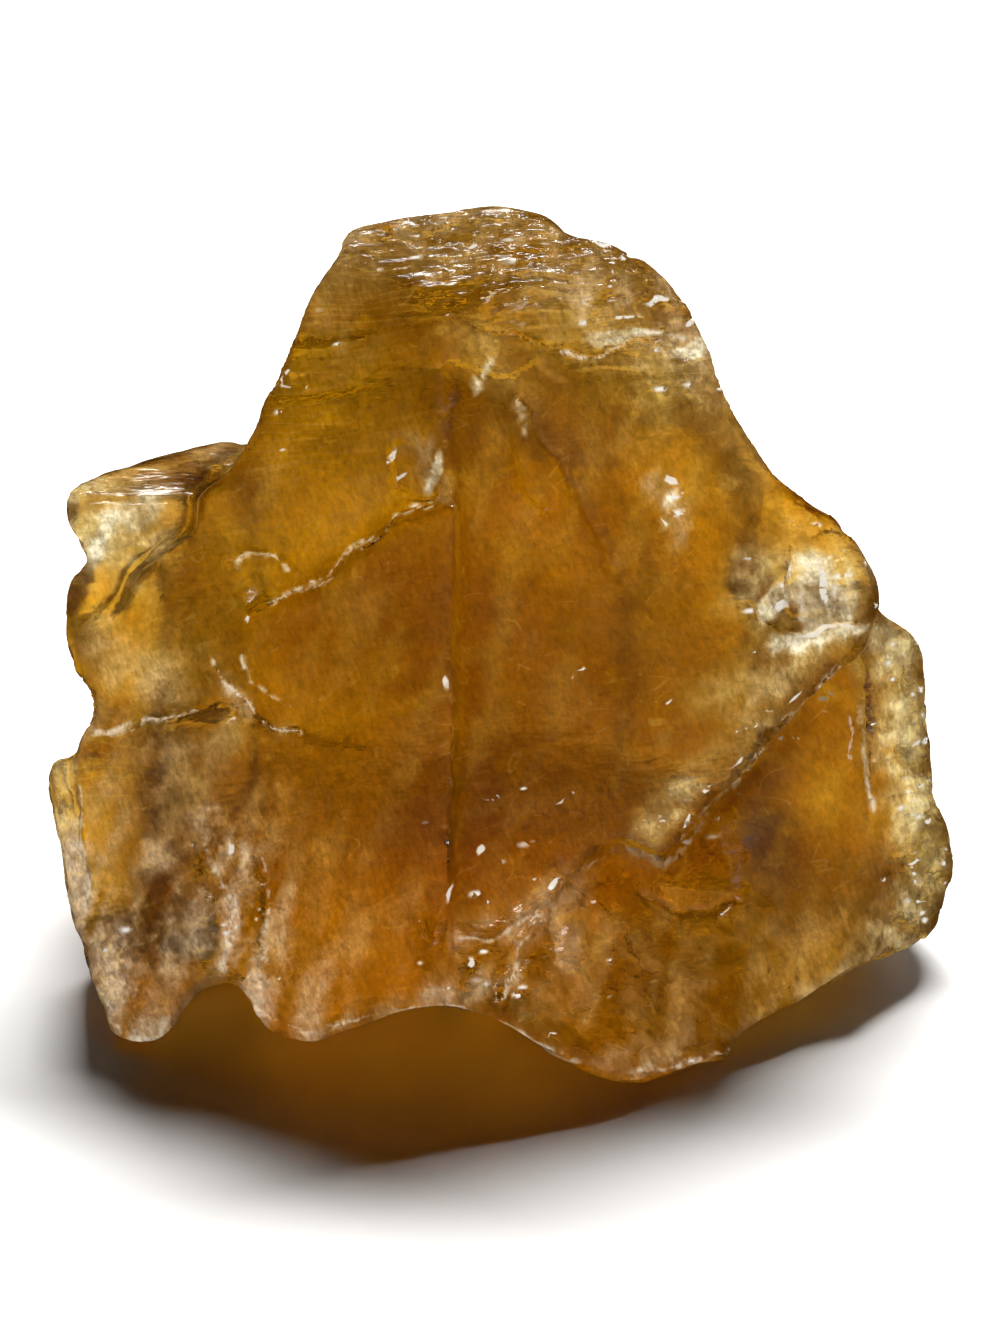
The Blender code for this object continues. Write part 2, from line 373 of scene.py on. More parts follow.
# Where fine steps run across the surface: a broad stroke, how far apart the steps are, how deep, and how
# much they climb to the right.
STRIATED = [
    ([(-22.0, 66.0), (-14.0, 80.0)], 8.0, 1.5, 0.20, 0.08),
    ([(42.0, 44.0), (43.0, 12.0)], 4.0, 1.8, 0.30, 0.30),
    ([(-43.0, 34.0), (-38.0, 30.0)], 4.0, 1.8, 0.20, -0.15),
    ([(-4.0, 82.0), (20.0, 74.0)], 6.5, 1.7, 0.50, 0.12),
]


def step_levels(at, spacing, climb):
    """Which of some small steps one above the other each point lies on, and how far up it."""
    climbed = at[:, 1] - climb * at[:, 0] + shaken(at, STEP_BEND)
    return climbed / spacing + shaken(at * (0.25, 1.0, 1.0), STEP_SPREAD)


def striations(at, spacing, depth, climb):
    """Small steps one above the other, of uneven height, each with a slope and a drop."""
    level = step_levels(at, spacing, climb)
    part = level - np.floor(level)
    uneven = STEP_EVEN + shaken(at * (0.3, 1.0, 0.3), STEP_UNEVEN)
    return -depth * uneven * (part - smooth_step(part, STEP_DROPS_FROM, 1.0))


def face_relief(at, wander):
    """What stands up or is cut in where the surface looks out of the main face."""
    height = np.zeros(len(at))
    frayed = warped(at)
    for route, width, tall in RIDGES:
        height += ridge(frayed, route, width, tall)
    for route, reach, drop in LEDGES:
        height += ledge(frayed, route, reach, drop)
    for route, width, spacing, depth, climb in STRIATED:
        height += painted(at, [(route, width, 1.0)], wander) * striations(at, spacing, depth, climb)
    return height


def roughened(points, quads):
    """Gives the flattened stone its relief, its chips and its fine hackle."""
    at = on_face(points)
    normals = vertex_normals(points, quads)
    outward = normals @ FACE_AXES[2]
    facing = smooth_step(outward, 0.25, 0.6)
    sides = 1 - smooth_step(outward, 0.15, 0.5)
    wander = fractal_at(at, *WANDER_NOISE)
    broken = np.maximum(painted(at, ROUGH, wander) * smooth_step(outward, -0.2, 0.3), SIDE_CHIPS * sides)
    laid = at * CHIPS_LIE
    chipped = sum(np.minimum(CHIP_CAP, chips_at(laid, size, seed) * tilt) for size, tilt, seed in CHIPS)
    swell = sum(shaken(at, shake) for shake in SWELLS)
    hackle = HACKLE_HEIGHT * fractal_at(at, *HACKLE_NOISE)
    move = facing * face_relief(at, wander) + swell + broken * chipped
    move = move + (HACKLE_EVERYWHERE + broken) * hackle
    above_floor = smooth_step(points[:, 2], FOOT_STILL, FOOT_FREE)
    return points + normals * (move * above_floor)[:, None]


def write_points(stone, points):
    """Puts moved vertices back in the stone's mesh, within the solid's own box."""
    low, high = (np.array(corner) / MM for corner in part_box(NODE))
    points = np.clip(points, low, high)
    stone.data.vertices.foreach_set("co", (points * MM).reshape(-1))
    stone.data.update()


def thin_out(stone):
    """Keeps TRIANGLES triangles, most of them where the surface is broken smallest."""
    stone.data.calc_loop_triangles()
    step = stone.modifiers.new("thin out", "DECIMATE")
    step.ratio = TRIANGLES / len(stone.data.loop_triangles)
    applied(stone)


def make_stone():
    """The stone's own fine mesh: evened out, flattened, broken small and thinned out."""
    noise.seed_set(CHIP_LOT)
    stone = even_copy()
    points, quads = read_mesh(stone.data)
    points = flattened(points, quads)
    points = roughened(points, quads)
    write_points(stone, points)
    thin_out(stone)
    stone.data.shade_smooth()
    stone.data.set_sharp_from_angle(angle=SHARP_ANGLE)
    stone.data.name = "calcite_stone"
    return stone


# What colours the crystal, as broad soft strokes on the main face: a route, how wide and how strong.
# A mauve-grey milky haze, partly a painted sheen: grey reflections of the room and the floor.
MAUVE_HAZE_AND_SHEEN = [
    ([(-29.5, 43.0), (-27.5, 39.0), (-24.0, 36.0), (-19.0, 34.0)], 1.0, 0.80),
    ([(-28.5, 25.0), (-26.0, 20.0), (-26.5, 13.0), (-23.0, 7.0)], 2.6, 1.20),
    ([(-30.5, 18.0), (-28.5, 12.0), (-24.0, 5.0)], 2.0, 1.00),
    ([(-24.0, 20.0), (-20.0, 12.0), (-17.0, 6.0)], 3.0, 0.80),
    ([(-27.0, 8.0), (-20.0, 4.5), (-12.0, 7.0), (-6.0, 8.0)], 4.2, 0.95),
    ([(-18.0, 14.0), (0.0, 11.0), (18.0, 10.0), (34.0, 12.0)], 7.0, 0.35),
    ([(-42.0, 22.0), (-40.0, 13.0), (-37.0, 5.0)], 4.5, 1.10),
    ([(-14.0, 85.0), (-5.0, 85.0), (6.0, 82.0), (16.0, 78.0)], 4.2, 0.80),
    ([(-5.0, 14.5), (2.0, 16.0), (8.0, 20.0)], 2.4, 0.75),
    ([(-5.0, 9.0), (2.0, 10.0), (6.0, 14.0)], 3.0, 0.75),
    ([(6.0, 3.0), (15.0, 2.0), (26.0, 5.0), (40.0, 12.0)], 2.6, 0.60),
    ([(15.5, 59.5), (17.5, 57.0), (18.5, 54.5)], 1.5, 0.95),
    ([(-41.0, 44.0), (-33.0, 38.0)], 2.5, 0.50),
    ([(-42.0, 59.0), (-34.0, 62.0), (-26.0, 65.0)], 1.8, 0.50),
    ([(-7.5, 63.0), (-6.5, 58.5)], 1.6, 0.70),
    ([(12.0, 79.0), (20.0, 73.0)], 3.5, 0.65),
    ([(-33.0, 30.0), (-25.0, 20.0)], 8.0, 0.40),
    ([(-36.0, 21.0), (-31.5, 11.0)], 4.5, 0.80),
    ([(-20.0, 80.0), (-15.0, 73.0)], 3.0, 0.30),
    ([(-41.0, 33.0), (-38.0, 20.0)], 3.5, 0.60),
]
# Pale milky crystal, partly a painted glow of light coming through: the thin left lobe, the right edge and
# the band above the right ledge.
PALE_AND_LIT = [
    ([(33.6, 44.6), (26.6, 37.4), (19.6, 29.9), (15.0, 25.2)], 1.9, 0.85),
    ([(26.0, 50.0), (34.0, 50.0)], 4.0, 0.85),
    ([(39.5, 44.0), (41.0, 32.0), (43.0, 22.0), (41.0, 14.0)], 2.8, 1.20),
    ([(8.0, 74.5), (15.0, 73.0), (22.0, 69.0)], 3.2, 0.40),
    ([(-3.0, 74.0), (1.0, 70.0), (2.0, 66.0)], 2.4, 0.30),
    ([(-44.3, 31.0), (-44.0, 18.0)], 1.5, 0.80),
    ([(-42.5, 58.0), (-38.0, 55.0)], 5.5, 1.15),
    ([(15.0, 66.0), (24.0, 62.0)], 5.0, 0.30),
    ([(-43.0, 12.0), (-40.0, 5.0)], 2.5, 0.50),
    ([(20.0, 38.0), (28.0, 41.0)], 2.2, 0.50),
    ([(-28.0, 35.0), (-38.0, 44.0)], 4.0, 0.30),
    ([(30.0, 6.0), (42.0, 14.0)], 1.5, 0.40),
]
# Darker amber patches, partly painted shade: the strokes along the low sides of the two ledges stand for the
# shade under them.
DEEP_AND_SHADED = [
    ([(-3.0, 60.0), (-1.5, 40.0), (-2.0, 22.0)], 3.5, 0.80),
    ([(5.0, 30.0), (8.0, 20.0)], 7.0, 0.45),
    ([(-12.0, 46.0), (-10.0, 38.0)], 6.0, 0.35),
    ([(35.5, 40.5), (29.5, 33.5), (24.5, 27.5), (19.5, 21.5), (15.5, 19.3)], 2.0, 0.80),
    ([(-1.0, 46.0), (10.0, 42.0), (24.0, 40.0)], 6.5, 0.45),
    ([(17.0, 41.0), (22.0, 36.5)], 4.0, 0.40),
    ([(14.0, 54.0), (22.0, 52.0)], 4.5, 0.35),
    ([(-7.0, 36.0), (-8.0, 16.0)], 4.0, 0.30),
    ([(12.0, 12.0), (22.0, 9.0)], 4.0, 0.40),
    ([(1.5, 69.5), (6.0, 61.0), (12.0, 49.0)], 2.4, 0.65),
    ([(-20.0, 80.0), (-14.0, 76.0)], 4.0, 0.45),
    ([(-31.0, 6.0), (-28.0, 8.0)], 2.5, 0.60),
    ([(34.0, 34.0), (33.5, 24.0)], 6.0, 0.35),
    ([(0.0, 48.0), (2.0, 38.0)], 6.0, 0.60),
    ([(13.0, 40.0), (9.0, 46.0)], 5.0, 0.40),
    ([(-22.0, 76.0), (-24.5, 66.0)], 2.2, 0.60),
    ([(37.0, 41.0), (38.5, 30.0)], 3.0, 0.80),
    ([(-20.0, 45.0), (-12.0, 50.5), (-6.5, 54.0)], 3.6, 0.85),
]
OLIVE = [
    ([(-24.0, 12.0), (-8.0, 12.0), (10.0, 9.0), (32.0, 10.0)], 9.0, 0.95),
]
GOLD = [
    ([(-17.0, 34.0), (-15.0, 20.0)], 6.0, 0.50),
    ([(-1.0, 29.0), (13.0, 27.5)], 5.0, 0.40),
    ([(-18.0, 68.0), (-14.0, 58.0)], 8.0, 0.85),
    ([(20.0, 58.0), (22.0, 50.0)], 6.0, 0.25),
    ([(40.5, 42.0), (43.0, 25.0), (41.5, 14.0)], 3.0, 0.60),
    ([(-15.0, 20.0), (-12.0, 10.0)], 6.0, 0.30),
    ([(-33.0, 42.0), (-28.0, 44.0)], 4.0, 0.40),
    ([(5.0, 74.0), (15.0, 68.0)], 5.0, 0.45),
    ([(20.0, 16.0), (32.0, 14.0)], 6.0, 0.45),
    ([(-24.0, 52.0), (-14.0, 56.0)], 4.5, 0.85),
    ([(12.0, 47.0), (20.0, 40.0)], 6.0, 0.40),
]

CROWN = [
    ([(-14.0, 85.0), (0.0, 84.0), (10.0, 81.0), (19.0, 74.0)], 6.5, 1.0),
    ([(-4.0, 76.0), (4.0, 74.0)], 3.0, 0.6),
]

# A deep patch in the middle, on both sides of the stone.
BLINDS = [
    ([(-12.0, 45.0), (2.0, 43.0), (14.0, 41.0)], 8.0, 0.35),
]

# Where the surface blurs what lies behind it most.
BLURRED = [
    ([(33.0, 38.0), (33.0, 20.0)], 8.0, 1.0),
    ([(-38.5, 34.0), (-38.0, 24.0)], 4.5, 0.8),
]

# Where the break gets painted highlights: small white glints painted into the colour.
PAINTED_GLINTS = [
    ([(-10.0, 85.0), (6.0, 83.0), (17.0, 77.5)], 6.0, 0.30),
    ([(12.0, 78.0), (20.0, 72.0)], 5.0, 0.45),
    ([(16.0, 24.5), (25.0, 32.0), (34.0, 41.5)], 2.6, 0.95),
    ([(40.5, 44.0), (43.0, 28.0), (43.0, 12.0)], 3.6, 0.90),
    ([(31.0, 57.0), (35.5, 52.0)], 2.5, 0.90),
    ([(-4.0, 26.0), (6.0, 24.0)], 4.5, 0.35),
    ([(-4.0, 14.0), (6.0, 10.0)], 5.0, 0.50),
    ([(26.0, 50.0), (34.0, 45.0)], 4.0, 0.50),
    ([(-26.0, 22.0), (-24.0, 8.0)], 3.0, 0.40),
    ([(-41.0, 18.0), (-39.0, 6.0)], 3.0, 0.30),
    ([(16.0, 3.0), (30.0, 4.0)], 2.5, 0.40),
    ([(-24.0, 66.0), (-17.0, 76.0)], 3.5, 0.40),
    ([(15.5, 59.5), (18.5, 54.5)], 2.0, 0.60),
]

# Small painted highlights: white glint flakes, each by its middle (right, up), its turn in degrees, and half
# its length and width.
PAINTED_GLINT_FLAKES = [
    (-25.6, 46.0, 75, 0.7, 0.40), (-21.4, 71.0, 80, 1.0, 0.18), (-19.0, 69.8, 85, 0.6, 0.15),
    (-20.4, 70.2, 70, 0.7, 0.12), (-5.2, 39.6, 85, 0.6, 0.22), (-1.9, 23.0, 65, 0.7, 0.28),
    (0.1, 23.0, 70, 0.6, 0.25), (-4.9, 18.5, 80, 0.9, 0.30), (-1.3, 18.5, 60, 0.5, 0.22),
    (-3.0, 12.4, 75, 0.5, 0.28), (-5.1, 9.9, 85, 0.7, 0.20), (-26.7, 23.4, 60, 0.6, 0.30),
    (-34.8, 15.1, 10, 0.8, 0.22), (-30.5, 32.4, 40, 0.3, 0.20), (-22.2, 10.4, 60, 0.4, 0.20),
    (16.8, 59.6, 150, 1.0, 0.45), (16.4, 56.0, 110, 0.8, 0.30), (18.4, 64.4, 80, 0.5, 0.22),
    (17.5, 58.2, 30, 1.2, 0.16), (7.7, 41.0, 30, 1.1, 0.28), (7.0, 29.0, 40, 0.6, 0.30),
    (5.6, 27.6, 20, 0.5, 0.22), (5.4, 19.6, 60, 0.7, 0.40), (17.3, 37.3, 35, 0.6, 0.20),
    (21.5, 40.5, 22, 2.2, 0.14), (26.0, 42.5, 24, 1.8, 0.16), (32.2, 49.6, 100, 2.4, 0.55),
    (28.4, 47.0, 40, 0.7, 0.50), (32.5, 45.0, 17, 4.0, 0.20), (28.8, 50.8, 60, 0.9, 0.22),
    (42.2, 21.7, 15, 1.0, 0.22), (43.4, 25.6, 20, 0.8, 0.20), (42.8, 29.5, 25, 0.9, 0.16),
    (41.8, 33.0, 28, 0.8, 0.16), (42.6, 18.0, 12, 0.9, 0.20), (22.8, 8.1, 30, 0.3, 0.25),
    (5.0, 4.9, 10, 0.6, 0.25), (13.4, 83.4, 25, 1.3, 0.35), (10.5, 84.5, 10, 1.0, 0.28),
    (15.8, 78.4, 12, 1.6, 0.30), (13.0, 76.4, 8, 1.4, 0.20), (3.5, 80.5, 15, 1.2, 0.25),
    (-3.0, 83.0, 30, 0.8, 0.28), (19.5, 76.0, 30, 0.9, 0.28), (-8.0, 85.0, 10, 1.4, 0.16),
    (-10.6, 62.6, 75, 1.1, 0.22), (-9.8, 60.4, 60, 0.8, 0.18), (23.2, 31.4, 40, 0.9, 0.22),
    (20.6, 28.6, 40, 0.8, 0.25), (25.5, 35.0, 45, 1.0, 0.20), (18.5, 25.4, 55, 0.7, 0.22),
    (29.4, 38.6, 40, 1.0, 0.18),
]

# Larger pale panes, set out as the flakes are.
PANES = [
    (31.5, 49.0, 100, 4.2, 2.4), (27.6, 47.4, 60, 2.6, 1.2), (31.8, 44.4, 17, 5.2, 1.0),
    (35.0, 48.5, 80, 2.6, 1.1), (17.0, 57.6, 75, 2.2, 0.6), (-6.6, 60.6, 80, 2.6, 0.7),
    (-37.0, 56.5, 20, 3.5, 1.6), (-40.5, 53.5, 60, 2.2, 1.2), (-2.0, 70.0, 70, 2.4, 0.35),
    (2.0, 66.5, 100, 1.8, 0.30), (20.0, 73.5, 20, 3.6, 0.9), (12.5, 74.6, 8, 3.6, 0.7),
]

# Thin bright edges, which are painted highlights along the ledges and rims, and thin dark cracks with
# painted shade lines down the crease and under the right ledge, as routes of (right, up) on the main face.
PAINTED_EDGE_HIGHLIGHTS = [
    RIGHT_LEDGE,
    LEFT_LEDGE,
    [(5.5, 17.5), (1.0, 15.0), (-5.0, 14.0)],
    [(5.5, 17.5), (2.0, 13.0), (1.0, 9.5), (-1.0, 7.5)],
    [(-29.5, 43.0), (-27.5, 39.0), (-24.0, 36.0), (-19.0, 34.0)],
    [(-25.7, 44.0), (-25.0, 39.5), (-20.0, 37.5)],
    [(-42.4, 34.4), (-33.5, 36.5), (-28.5, 37.5)],
    [(30.0, 52.0), (33.5, 52.0), (33.5, 45.0), (30.0, 46.0), (30.0, 52.0)],
    [(27.0, 42.5), (31.0, 44.5), (36.5, 46.5)],
    [(36.8, 43.0), (36.5, 36.0), (38.0, 25.0)],
    [(-30.0, 25.0), (-27.0, 17.0), (-28.0, 9.0)],
    [(-24.0, 24.0), (-23.0, 18.0), (-24.0, 11.0)],
    [
        (-28.4, 9.6), (-24.3, 6.4), (-19.2, 4.3), (-11.5, 7.2), (-5.8, 7.7), (1.2, 5.6), (6.6, 2.6),
        (12.5, 1.0),
    ],
    [(10.0, 1.4), (16.0, 1.3), (21.6, 2.1), (26.8, 4.6), (37.0, 10.3)],
    [(-42.0, 8.0), (-38.5, 4.0), (-34.5, 3.6), (-31.5, 7.6)],
    [(4.5, 73.0), (10.0, 72.5), (15.0, 75.0), (20.0, 74.5)],
    [(-26.5, 50.5), (-25.0, 52.3), (-22.3, 52.4), (-20.8, 50.4)],
    [(-42.5, 31.0), (-42.2, 22.0), (-41.5, 15.0)],
]
# Dark cracks, and painted shade: the lines down the crease and along the foot of the right ledge.
CRACKS_AND_SHADE_LINES = [
    [(1.5, 69.5), (4.5, 64.0), (8.0, 58.0), (12.0, 48.0)],
    [(-4.7, 47.0), (-4.7, 30.0), (-4.8, 18.0), (-4.8, 8.0)],
    [(-4.7, 72.0), (-4.6, 60.0), (-4.7, 46.0)],
    [(26.5, 32.0), (23.0, 27.6), (20.0, 23.5), (17.0, 20.8), (14.5, 21.4)],
    [(14.2, 18.4), (17.5, 16.8), (21.0, 16.4), (24.5, 18.0)],
    [(5.5, 16.0), (8.0, 18.0), (12.5, 21.5)],
]

# The crystal's colours. Light takes on half of a colour's tint on its way in and half on its way out.
AMBER = np.array((0.48, 0.205, 0.0010))
GOLDEN = np.array((0.68, 0.39, 0.002))
DARK_HONEY = np.array((0.33, 0.125, 0.0005))
# A deep amber, which also paints the shade under the ledges.
DEEP_AMBER_AND_SHADE = np.array((0.20, 0.055, 0.0003))
BACK_HONEY = np.array((0.90, 0.54, 0.08))
BASE_HONEY = np.array((0.30, 0.12, 0.003))
CROWN_BROWN = np.array((0.46, 0.28, 0.10))
OLIVE_BROWN = np.array((0.21, 0.145, 0.003))
# Mauve-grey haze, partly a painted sheen of reflected light.
MAUVE_GREY_SHEEN = np.array((0.66, 0.47, 0.28))
# Pale honey, partly a painted glow of backlit thin parts.
PALE_LIT_HONEY = np.array((0.98, 0.77, 0.35))
PANE_LIGHT = np.array((1.0, 0.90, 0.62))
VEIL = np.array((0.76, 0.50, 0.03))
# A painted highlight: the bright line along the edges.
PAINTED_EDGE_HIGHLIGHT = (1.0, 0.90, 0.72, 1)
# Dark of the cracks, also painted shade in the crease and under the right ledge.
CRACK_AND_SHADE_DARK = (0.14, 0.04, 0.0005, 1)
THREAD = (0.90, 0.66, 0.12, 1)
# A painted highlight: the white of the painted glints.
PAINTED_GLINT_WHITE = (1.0, 0.97, 0.90, 1)

# How milky the crystal is everywhere, and how much each thing adds where it covers it whole. A face
# that lies level is clearer.
MILKY_EVERYWHERE = 0.01
MILKY_MAUVE_HAZE = 0.58
MILKY_VEIL = 0.08
MILKY_PALE_AND_LIT = 0.42
MILKY_PANE = 0.5
MILKY_CROWN = 0.12
MILKY_BACK = 0.12
CLEARER_LYING = 0.35

# How rough the crystal is: plain, what a veil adds and a pale film, partly a painted glow, takes away, how
# much of it goes where the face lies level, and how rough the blurred strokes are. Then the underside's
# roughness, what it gains high up, and the share of it that the back has.
ROUGH_PLAIN = 0.30
ROUGH_VEIL = 0.14
SMOOTH_PALE_AND_LIT = 0.12
SMOOTH_LYING = 0.75
ROUGH_BLURRED = 0.85
ROUGH_HIDDEN = 0.60
HIDDEN_RISE = 0.18
BACK_SHARE = 0.75

# The paint's lumpy noises, and how the drawn-out ones are turned, in degrees, and stretched.
CLOUD_NOISE = (15.0, 5, 21.0)
FILM_NOISE = (3.4, 5, 41.0)
FILM_DRAW = (8, 3.0)
VEIL_NOISE = (3.0, 5, 31.0)
VEIL_DRAW = (70, 3.6)
THREAD_NOISE = (9.0, 3, 51.0)
THREAD_DRAW = (60, 2.5)
SECOND_NOISE = (8.0, 3, 61.0)
SECOND_DRAW = (12, 3.0)
THREAD_OFFSET = 0.02

# The shader's fine noises, each by its scale, its detail and its roughness, and how two of them are
# drawn out: the turn of that line in degrees, and how far.
MOTTLE = (420.0, 3.0, 0.75)
GRAIN = (1900.0, 3.0, 0.78)
HACKLE = (700.0, 2.0, 0.75)
LEVEL_DRAW = (8, 3.0)
SLANTED_DRAW = (112, 2.0)
HACKLE_DEPTH = 0.35 * MM
SPARK_SCALE = 950.0
THREAD_WIDTH = 0.022

COAT_WEIGHT = 0.4
COAT_ROUGHNESS = 0.07
ABSORBED_COLOUR = (0.7375, 0.645, 0.0, 1)
ABSORPTION = 80.0
CALCITE_IOR = 1.5

# A distance at which no line or flake is drawn any more.
FAR = 9.0


def nearest(at, routes):
    """How far each point lies from the nearest of some routes, in millimetres."""
    best = np.full(len(at), FAR)
    for route in routes:
        away, along, _ = distance_to(at, route)
        best = np.minimum(best, away + 1.2 * (1 - fading(along)))
    return best


def to_flakes(at, flakes):
    """How far each point lies from the nearest flake, as a share of that flake's half width."""
    best = np.full(len(at), FAR)
    for right, up, turn, reach, width in flakes:
        run = np.array((math.cos(math.radians(turn)), math.sin(math.radians(turn))))
        offset = at[:, :2] - (right, up)
        along = np.abs(offset @ run) / reach
        across = np.abs(offset @ (-run[1], run[0])) / width
        best = np.minimum(best, np.maximum(along, across) + 0.35 * np.minimum(along, across))
    return best


def mixed(colour, other, share):
    """The second colour laid over the first, by each vertex's share."""
    return colour + (other - colour) * share[:, None]


class Surface:
    """The stone's vertices, which way they face, and the noise and the strokes that its paint is made of."""

    def __init__(self, mesh):
        points = np.empty(len(mesh.vertices) * 3)
        mesh.vertices.foreach_get("co", points)
        normals = np.empty(len(mesh.vertices) * 3)
        mesh.vertices.foreach_get("normal", normals)
        normals = normals.reshape(-1, 3)
        self.at = on_face(points.reshape(-1, 3) / MM)
        self.frayed = warped(self.at)

        self.facing = smooth_step(normals @ FACE_AXES[2], 0.0, 0.35)
        self.back = 1 - self.facing
        self.base = smooth_step(-normals[:, 2], 0.5, 0.9)
        self.lying = smooth_step(normals[:, 2], 0.62, 0.88)

        self.wander = fractal_at(self.at, *WANDER_NOISE)
        self.clouds = fractal_at(self.at, *CLOUD_NOISE)
        self.films = fractal_at(turned(self.at, *FILM_DRAW), *FILM_NOISE)
        veils = fractal_at(turned(self.at, *VEIL_DRAW), *VEIL_NOISE)
        self.veiled = smooth_step(veils, 0.0, 0.9)

        # The mauve haze, partly a painted sheen of reflections.
        self.mauve_haze_and_sheen = 0.9 * self.covered(MAUVE_HAZE_AND_SHEEN) * self.facing * smooth_step(veils, -0.5, 0.4)
        # Pale crystal, partly a painted glow where light comes through thin parts.
        self.pale_and_lit = self.covered(PALE_AND_LIT) * (0.3 + 0.7 * smooth_step(self.films, -0.7, 0.5))
        self.crown = self.covered(CROWN) * self.facing
        inside = smooth_step(-to_flakes(self.frayed, PANES), -1.15, -0.85)
        self.panes = inside * (0.6 + 0.4 * smooth_step(self.films, -0.4, 0.3)) * self.facing

    def covered(self, strokes):
        """How strongly some strokes cover each vertex."""
        return painted(self.at, strokes, self.wander)


def tint_of(surface):
    """The crystal's tint: honey clouds, then what lies over them, each colour with its share, painted shade,
    glow and sheen among them.
    """
    facing = surface.facing
    # Darker amber, with painted shade under the two ledges.
    shaded = 0.85 * surface.covered(DEEP_AND_SHADED) * facing * (1 - 0.3 * smooth_step(surface.clouds, 0, 0.5))
    layers = [
        (OLIVE_BROWN, surface.covered(OLIVE) * facing),
        (GOLDEN, surface.covered(GOLD) * facing),
        (DEEP_AMBER_AND_SHADE, shaded),
        (VEIL, 0.40 * surface.veiled),
        (VEIL, 0.30 * smooth_step(surface.films, 0.1, 0.9)),
        (PALE_LIT_HONEY, surface.pale_and_lit),
        (MAUVE_GREY_SHEEN, surface.mauve_haze_and_sheen),
        (CROWN_BROWN, 0.8 * surface.crown * smooth_step(-surface.films, -0.35, 0.35)),
        (PANE_LIGHT, surface.panes),
        (BACK_HONEY, 0.9 * surface.back),
        (DEEP_AMBER_AND_SHADE, surface.covered(BLINDS)),
        (BASE_HONEY, surface.base),
    ]
    tint = mixed(DARK_HONEY[None, :], AMBER, smooth_step(surface.clouds, -0.35, 0.35))
    for colour, share in layers:
        tint = mixed(tint, colour, share)
    return tint


def milk_of(surface):
    """How much of the light the surface scatters, which is less where it lies level."""
    milky = MILKY_EVERYWHERE + MILKY_MAUVE_HAZE * surface.mauve_haze_and_sheen + MILKY_VEIL * surface.veiled
    milky = milky + MILKY_PALE_AND_LIT * surface.pale_and_lit + MILKY_PANE * surface.panes + MILKY_CROWN * surface.crown
    milky = milky + MILKY_BACK * surface.back * (1 - surface.base)
    return milky * (1 - CLEARER_LYING * surface.lying)


def blur_of(surface):
    """How rough the surface is: clear where it lies level, and blurred behind, most of all high up."""
    rough = ROUGH_PLAIN + ROUGH_VEIL * surface.veiled - SMOOTH_PALE_AND_LIT * surface.pale_and_lit
    rough = rough * (1 - SMOOTH_LYING * surface.lying)
    rough = np.maximum(rough, ROUGH_BLURRED * surface.covered(BLURRED))
    hidden = np.maximum(surface.base, BACK_SHARE * smooth_step(surface.back, 0.5, 1.0))
    hidden = hidden * (ROUGH_HIDDEN + HIDDEN_RISE * smooth_step(surface.at[:, 1], 40, 62))
    return np.maximum(rough, hidden * (1 - surface.lying))


def steps_of(surface):
    """Which small step each vertex lies on, and how strongly the steps show there."""
    steps = np.zeros(len(surface.at))
    stepped = np.zeros(len(surface.at))
    for route, width, spacing, _, climb in STRIATED:
        cover = surface.covered([(route, width, 1.0)]) * surface.facing
        steps = np.where(cover > stepped, step_levels(surface.at, spacing, climb), steps)
        stepped = np.maximum(stepped, cover)
    return steps, stepped


def write_paint(stone):
    """Stores the crystal's tint on its vertices, and how milky, rough, chipped and cracked it is there, and
    where its painted highlights and painted shade lines lie.
    """
    surface = Surface(stone.data)
    tint = tint_of(surface)
    steps, stepped = steps_of(surface)
    facing = surface.facing
    back = surface.back
    masks = {
        "red": tint[:, 0],
        "green": tint[:, 1],
        "blue": tint[:, 2],
        "milky": milk_of(surface),
        "blurred": blur_of(surface),
        "chipped": np.maximum(surface.covered(ROUGH) * facing, 0.3 * back),
        # Painted glints, with a faint scatter of them on the back.
        "painted_glint": np.maximum(surface.covered(PAINTED_GLINTS) * facing, 0.06 * back * (1 - surface.base)),
        "edge_highlight": nearest(surface.frayed, PAINTED_EDGE_HIGHLIGHTS) + FAR * smooth_step(back, 0.6, 1.0),
        "crack_and_shade": nearest(surface.frayed, CRACKS_AND_SHADE_LINES) + FAR * back,
        "painted_glint_flake": to_flakes(surface.frayed, PAINTED_GLINT_FLAKES) + FAR * back,
        "steps": steps,
        "stepped": stepped,
        "thread": fractal_at(turned(surface.at, *THREAD_DRAW), *THREAD_NOISE) + THREAD_OFFSET,
        "second_thread": fractal_at(turned(surface.at, *SECOND_DRAW), *SECOND_NOISE) + THREAD_OFFSET,
    }
    for name, values in masks.items():
        layer = stone.data.attributes.new(name, "FLOAT", "POINT")
        layer.data.foreach_set("value", values.astype(np.float32))


